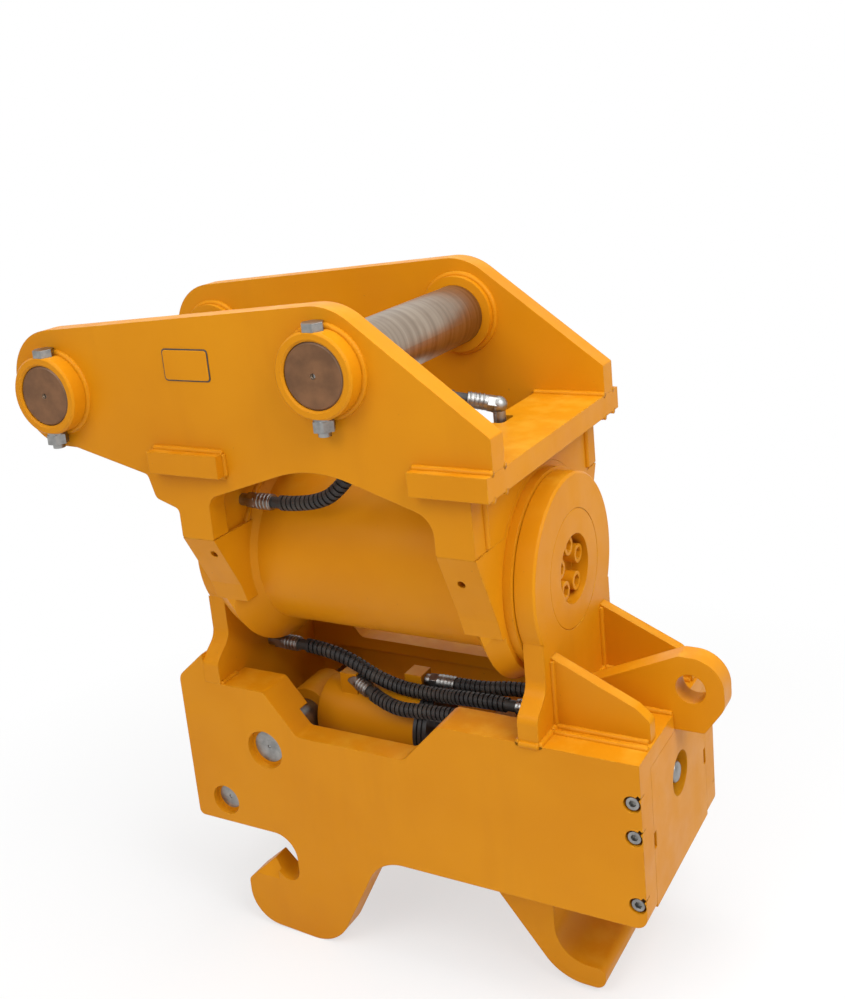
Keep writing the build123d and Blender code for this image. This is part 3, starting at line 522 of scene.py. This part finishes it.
def spiral_guard(name, points, body):
    """A flat strip wound round the hose, ending a little before the hose's ends."""
    fine = resample(points, 0.0012)
    first, last = round(len(fine) * GUARD_START), round(len(fine) * GUARD_END)
    fine = fine[first:last]
    frames = frames_along(fine, False)
    inner = HOSE_MM / 2000 + GUARD_GAP
    outer = inner + GUARD_THICKNESS
    half = GUARD_PITCH * GUARD_WIDTH_SHARE / 2
    turns = path_length(fine) / GUARD_PITCH
    steps = round(turns * 20)
    verts, faces = [], []
    for i in range(steps + 1):
        share = i / steps
        place = share * (len(fine) - 1)
        low = min(int(place), len(fine) - 2)
        point = fine[low].lerp(fine[low + 1], place - low)
        tangent, side, up = frames[low]
        angle = 2 * math.pi * turns * share
        out = math.cos(angle) * side + math.sin(angle) * up
        for radius, along in ((inner, -half), (outer, -half), (outer, half), (inner, half)):
            verts.append(point + out * radius + tangent * along)
    for i in range(steps):
        for k in range(4):
            a, b = i * 4 + k, i * 4 + (k + 1) % 4
            faces.append((a, b, b + 4, a + 4))
    faces.append((0, 3, 2, 1))
    last_ring = steps * 4
    faces.append((last_ring, last_ring + 1, last_ring + 2, last_ring + 3))
    return new_piece(name, verts, faces, body, GUARD, smooth=False)


def crimp_rings(name, start, direction, body):
    """The pressed rings of the ferrule on a hose's end."""
    half_width = 0.0012
    radii = (0.0099, 0.0106, 0.0109, 0.0106, 0.0099)
    verts, faces = [], []
    for i in range(4):
        middle = start - direction * (0.004 + 0.0055 * i)
        path = [middle + direction * half_width * share for share in (-1, -0.5, 0, 0.5, 1)]
        ring_verts, ring_faces = tube(path, lambda i: radii[i], 24)
        base = len(verts)
        verts += ring_verts
        faces += [tuple(v + base for v in face) for face in ring_faces]
    return new_piece(name, verts, faces, body, ZINC)


def make_hoses():
    for name, (body, route) in ROUTES.items():
        piece = hose_curve(f"{name}_cover", route)
        points = spline_points(piece)
        piece.data.bevel_depth = HOSE_MM / 2000
        piece.data.bevel_resolution = 5
        piece.data.use_fill_caps = True
        piece.data.materials.append(HOSE)
        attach(piece, body)
        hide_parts(name)
        spiral_guard(f"{name}_guard", points, body)
        first = (points[1] - points[0]).normalized()
        last = (points[-2] - points[-1]).normalized()
        crimp_rings(f"{name}_crimp_a", points[0], first, body)
        crimp_rings(f"{name}_crimp_b", points[-1], last, body)


make_hoses()


# ---------------------------------------------------------------- name plate, plugs, rod end

def rounded_plate(name, x, z, y, thickness, radius, body, slot, material):
    """A thin plate with round corners on a face that looks along -Y."""
    outline = []
    corners = (
        (x[1] - radius, z[1] - radius, 0),
        (x[0] + radius, z[1] - radius, 90),
        (x[0] + radius, z[0] + radius, 180),
        (x[1] - radius, z[0] + radius, 270),
    )
    for cx, cz, start in corners:
        for i in range(7):
            angle = math.radians(start + 90 * i / 6)
            outline.append((cx + radius * math.cos(angle), cz + radius * math.sin(angle)))
    count = len(outline)
    layers = ((y, 0), (y - thickness * 0.7, 0), (y - thickness, 0.4))
    verts = []
    mx, mz = (x[0] + x[1]) / 2, (z[0] + z[1]) / 2
    for depth, inset in layers:
        for px, pz in outline:
            fx = px - math.copysign(inset, px - mx)
            fz = pz - math.copysign(inset, pz - mz)
            verts.append(at(fx, depth, fz))
    faces = [tuple(range(count)), tuple(range(2 * count, 3 * count))]
    for layer in range(2):
        for i in range(count):
            a, b = layer * count + i, layer * count + (i + 1) % count
            faces.append((a, b, b + count, a + count))
    return new_piece(name, verts, faces, body, material, smooth=False)


def make_name_plate():
    """A bare plate, painted over, with a thin dark line round it."""
    x, z, line = (188, 259), (268.5, 309), 1.6
    rounded_plate("plate_line", x, z, -EAR_OUTER, 1.0, 5, UPPER, "dark_gland", GLAND)
    inner = (x[0] + line, x[1] - line), (z[0] + line, z[1] - line)
    rounded_plate("bare_plate", *inner, -EAR_OUTER, 1.8, 4, UPPER, "yellow_paint", PAINT)


def make_plugs():
    """The dark red plugs deep in the ports of the feet."""
    height, radius, outer, inner = 38, 4.9, 150, 147.3
    for x in (214, 567):
        for side, tag in ((-1, "near"), (1, "far")):
            verts = [at(x, side * outer, height)]
            for y in (outer, inner):
                verts += [at(*p) for p in circle_points(x, side * y, height, radius, "y", 24)]
            faces = [(0, 1 + i, 1 + (i + 1) % 24) for i in range(24)]
            faces += [(1 + i, 25 + i, 25 + (i + 1) % 24, 1 + (i + 1) % 24) for i in range(24)]
            faces.append(tuple(range(25, 49)))
            new_piece(f"plug_{x}_{tag}", verts, faces, UPPER, PLUG, smooth=False)


def make_rod_end():
    """The turned end of the lock cylinder's rod, seen in the hole of the end cover."""
    profile = ((744, 13.5), (752.5, 13.5), (755, 11), (756, 6))
    height, count = -255, 32
    verts = []
    for x, radius in profile:
        verts += [at(*p) for p in circle_points(x, 0, height, radius, "x", count)]
    faces = []
    for ring in range(len(profile) - 1):
        for i in range(count):
            a, b = ring * count + i, ring * count + (i + 1) % count
            faces.append((a, b, b + count, a + count))
    faces.append(tuple(reversed(range(count))))
    faces.append(tuple(range(len(verts) - count, len(verts))))
    new_piece("rod_end", verts, faces, CLAW, ZINC)


make_name_plate()
make_plugs()
make_rod_end()


# ---------------------------------------------------------------- stage, light, camera

MIDDLE = Vector((0.37, 0, -0.3))


def make_stage():
    floor_z = CAD_BOX[0][2] - 0.0005
    reach = 12.0
    corners = ((-reach, -reach), (reach, -reach), (reach, reach), (-reach, reach))
    mesh = bpy.data.meshes.new("floor")
    mesh.from_pydata([(x, y, floor_z) for x, y in corners], [], [(0, 1, 2, 3)])
    floor = bpy.data.objects.new("floor", mesh)
    bpy.context.collection.objects.link(floor)
    material, tree, shader = new_material("floor_look")
    shader.inputs["Base Color"].default_value = (0.86, 0.86, 0.86, 1)
    shader.inputs["Roughness"].default_value = 0.9
    shader.inputs["Specular IOR Level"].default_value = 0.1
    fade_to_white(tree, shader)
    mesh.materials.append(material)


def background_rays(tree):
    """1 for camera, glossy and transmission rays."""
    path = tree.nodes.new("ShaderNodeLightPath")
    value = path.outputs["Is Camera Ray"]
    for name in ("Is Glossy Ray", "Is Transmission Ray"):
        either = tree.nodes.new("ShaderNodeMath")
        either.operation = "MAXIMUM"
        tree.links.new(value, either.inputs[0])
        tree.links.new(path.outputs[name], either.inputs[1])
        value = either.outputs[0]
    return value


def fade_to_white(tree, shader):
    """The floor goes over into the white background away from the object's shadow."""
    place = tree.nodes.new("ShaderNodeNewGeometry").outputs["Position"]
    distance = tree.nodes.new("ShaderNodeVectorMath")
    distance.operation = "DISTANCE"
    tree.links.new(place, distance.inputs[0])
    distance.inputs[1].default_value = (0.42, 0.0, CAD_BOX[0][2])
    share = ramp(tree, distance.outputs["Value"], 0.35, 1.1, 0.62, 1.0)
    white = add(tree, "ShaderNodeEmission", Strength=1.0)
    white.inputs["Color"].default_value = (1, 1, 1, 1)
    blend = tree.nodes.new("ShaderNodeMixShader")
    tree.links.new(multiply(tree, share, background_rays(tree)), blend.inputs[0])
    tree.links.new(shader.outputs[0], blend.inputs[1])
    tree.links.new(white.outputs[0], blend.inputs[2])
    output = next(n for n in tree.nodes if n.type == "OUTPUT_MATERIAL")
    tree.links.new(blend.outputs[0], output.inputs["Surface"])


def make_world():
    world = bpy.data.worlds.new("studio")
    bpy.context.scene.world = world
    world.use_nodes = True
    tree = world.node_tree
    tree.nodes.clear()
    output = tree.nodes.new("ShaderNodeOutputWorld")
    white = add(tree, "ShaderNodeBackground", Strength=1.0)
    white.inputs["Color"].default_value = (1, 1, 1, 1)
    ambient = add(tree, "ShaderNodeBackground", Strength=0.41)
    ambient.inputs["Color"].default_value = (1, 1, 1, 1)
    blend = tree.nodes.new("ShaderNodeMixShader")
    tree.links.new(background_rays(tree), blend.inputs[0])
    tree.links.new(ambient.outputs[0], blend.inputs[1])
    tree.links.new(white.outputs[0], blend.inputs[2])
    tree.links.new(blend.outputs[0], output.inputs[0])


def area_light(name, place, size, power):
    """A round lamp that looks at the object's middle."""
    data = bpy.data.lights.new(name, "AREA")
    data.shape = "DISK"
    data.size = size
    data.energy = power
    light = bpy.data.objects.new(name, data)
    light.location = place
    light.rotation_euler = (MIDDLE - Vector(place)).to_track_quat("-Z", "Y").to_euler()
    bpy.context.collection.objects.link(light)


def make_camera():
    """The camera solved from the photograph's pin ends, corners and edges."""
    data = bpy.data.cameras.new("camera")
    data.lens = 44.167
    data.sensor_width = 36.0
    data.shift_y = -0.0996
    data.clip_start = 0.05
    camera = bpy.data.objects.new("camera", data)
    right = Vector((0.87018729, 0.48388064, -0.09291722))
    up = Vector((-0.04102972, 0.25908664, 0.96498222))
    back = Vector((0.49100982, -0.83590289, 0.24530739))
    turn = Matrix((right, up, back)).transposed().to_4x4()
    camera.matrix_world = Matrix.Translation((1.20245, -1.29301, 0.33835)) @ turn
    bpy.context.collection.objects.link(camera)
    bpy.context.scene.camera = camera


make_stage()
make_world()
area_light("key", (-0.2, -2.3, 1.9), 2.2, 40)
area_light("top", (0.5, 0.4, 3.0), 2.6, 54)
area_light("right_fill", (1.75, -0.5, 1.1), 1.4, 28)
make_camera()
bpy.context.scene.view_settings.view_transform = "Standard"
